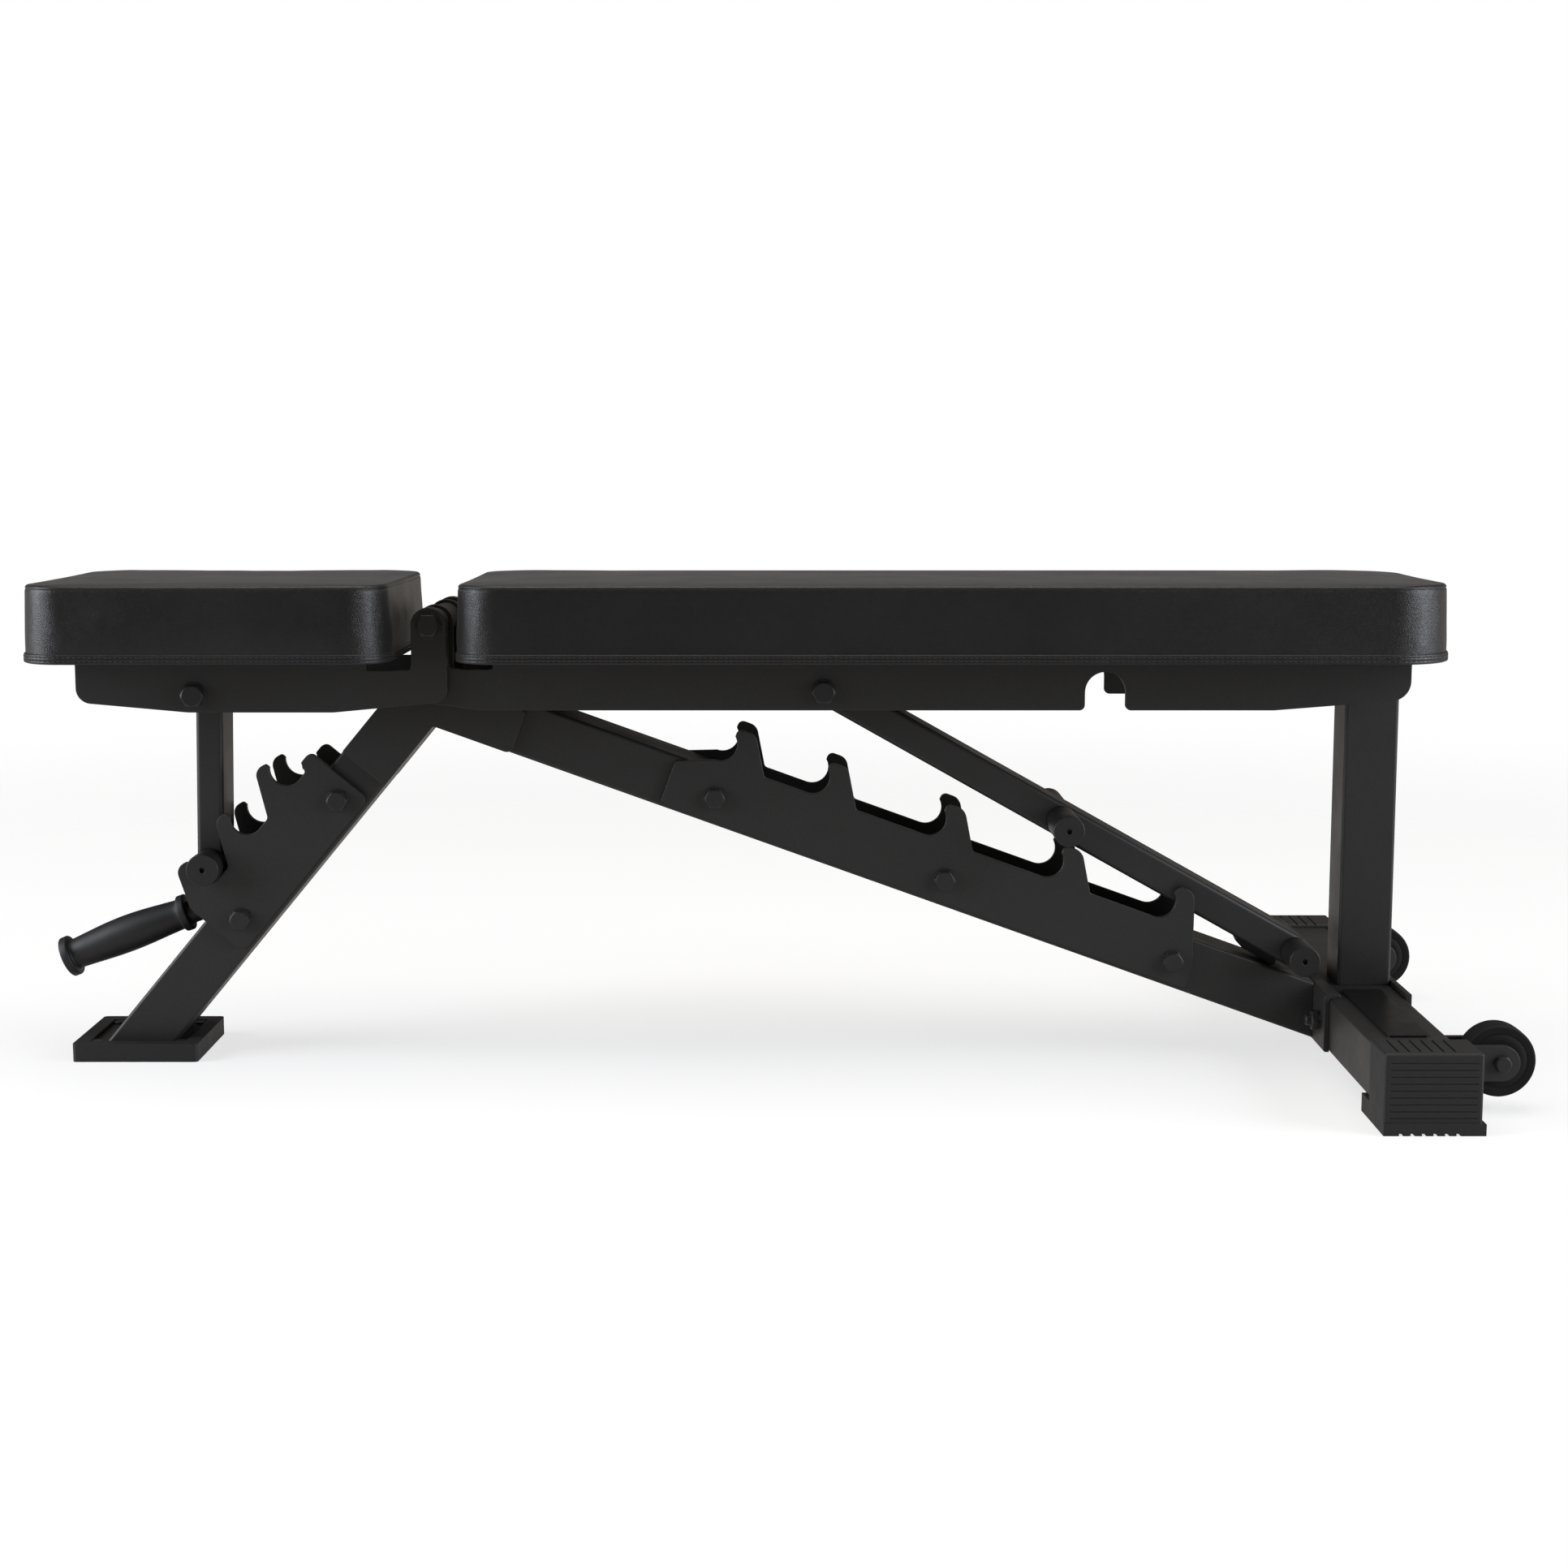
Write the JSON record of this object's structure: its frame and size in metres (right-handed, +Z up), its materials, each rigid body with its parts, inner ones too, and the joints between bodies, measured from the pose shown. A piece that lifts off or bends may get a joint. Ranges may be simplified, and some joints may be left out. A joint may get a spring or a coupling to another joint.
{
  "type": "adjustable weight bench",
  "caption": "Flat-to-incline weight bench with ladder-notch props for seat and backrest, padded black vinyl tops, a carry handle and transport wheels.",
  "frame": {"origin": "centre of the bounding box's bottom face: on the floor, on the bench's plane of symmetry", "axes": "+Z up, +X from the seat towards the head end, +Y to the user's left when lying on the back"},
  "size_m": [1.3388, 0.626, 0.4495],
  "materials": {
    "powder_coat": "fine textured satin powder coat on steel",
    "black_oxide": "black oxide hexagon fasteners",
    "pin_coat": "smooth satin black coating on round bar",
    "nylon": "black nylon bushes, washers and spacers",
    "foot_rubber": "moulded matt rubber",
    "grip_rubber": "moulded satin rubber grip",
    "tyre": "solid rubber wheel",
    "badge": "plain black anodised plate",
    "vinyl": "grained black vinyl over foam",
    "board": "plywood pad board under black backing cloth"
  },
  "bodies": {
    "frame": {"apex_plate_left": "powder_coat", "apex_plate_right": "powder_coat", "back_ladder_bolts": "black_oxide", "back_ladder_left": "powder_coat", "back_ladder_right": "powder_coat", "badge_plate": "badge", "clamp_bolts": "black_oxide", "front_base_plate": "powder_coat", "front_clamp_plate": "powder_coat", "front_foot_pad": "foot_rubber", "front_foot_screws": "black_oxide", "front_leg": "powder_coat", "handle_grip": "grip_rubber", "handle_tube": "powder_coat", "hinge_sleeve": "powder_coat", "hinge_washers": "nylon", "main_beam": "powder_coat", "main_hinge_bolt": "black_oxide", "post_bumper": "foot_rubber", "rear_clamp_plate": "powder_coat", "rear_cross_beam": "powder_coat", "rear_foot_cap_left": "foot_rubber", "rear_foot_cap_right": "foot_rubber", "rear_post": "powder_coat", "seat_ladder_bolts": "black_oxide", "seat_ladder_left": "powder_coat", "seat_ladder_right": "powder_coat", "wheel_axle_left": "black_oxide", "wheel_axle_right": "black_oxide", "wheel_fork_left": "powder_coat", "wheel_fork_right": "powder_coat"},
    "seat": {"seat_board": "board", "seat_board_screws": "black_oxide", "seat_mount_plates": "powder_coat", "seat_pad": "vinyl", "seat_plate_left": "powder_coat", "seat_plate_right": "powder_coat", "seat_strut_bolt": "black_oxide", "seat_strut_spacers": "nylon"},
    "seat_prop": {"seat_strut": "powder_coat", "seat_strut_bush": "nylon", "seat_strut_pin": "pin_coat"},
    "backrest": {"back_board": "board", "back_board_screws": "black_oxide", "back_mount_plates": "powder_coat", "back_pad": "vinyl", "back_plate_left": "powder_coat", "back_plate_right": "powder_coat", "back_strut_bolt": "black_oxide", "back_strut_spacers": "nylon"},
    "back_prop": {"back_strut": "powder_coat", "back_strut_bush": "nylon", "back_strut_pin": "pin_coat", "back_strut_bar": "pin_coat", "back_strut_bumper": "foot_rubber"},
    "wheel_left": {"wheel_left": "tyre"},
    "wheel_right": {"wheel_right": "tyre"}
  },
  "joints": [
    {"name": "backrest_hinge", "type": "hinge", "parent": "frame", "child": "backrest", "pos_m": [-0.3, 0, 0.41], "axis": [0, -1, 0], "range_deg": [0, 85]},
    {"name": "back_prop_hinge", "type": "hinge", "parent": "backrest", "child": "back_prop", "pos_m": [0.0567, 0, 0.3488], "axis": [0, -1, 0], "range_deg": [-120, 0]},
    {"name": "seat_hinge", "type": "hinge", "parent": "frame", "child": "seat", "pos_m": [-0.3, 0, 0.41], "axis": [0, -1, 0], "range_deg": [-18.3, 0]},
    {"name": "seat_prop_hinge", "type": "hinge", "parent": "seat", "child": "seat_prop", "pos_m": [-0.5137, 0, 0.3466], "axis": [0, -1, 0], "range_deg": [0, 18.4]},
    {"name": "wheel_left_spin", "type": "hinge", "parent": "frame", "child": "wheel_left", "pos_m": [0.6379, -0.2225, 0.0444], "axis": [0, 1, 0], "continuous": true},
    {"name": "wheel_right_spin", "type": "hinge", "parent": "frame", "child": "wheel_right", "pos_m": [0.6379, 0.2225, 0.0444], "axis": [0, 1, 0], "continuous": true}
  ],
  "couplings": [
    {"joint": "back_prop_hinge", "follows": "backrest_hinge", "ratio": -1.41},
    {"joint": "seat_prop_hinge", "follows": "seat_hinge", "ratio": -1}
  ]
}
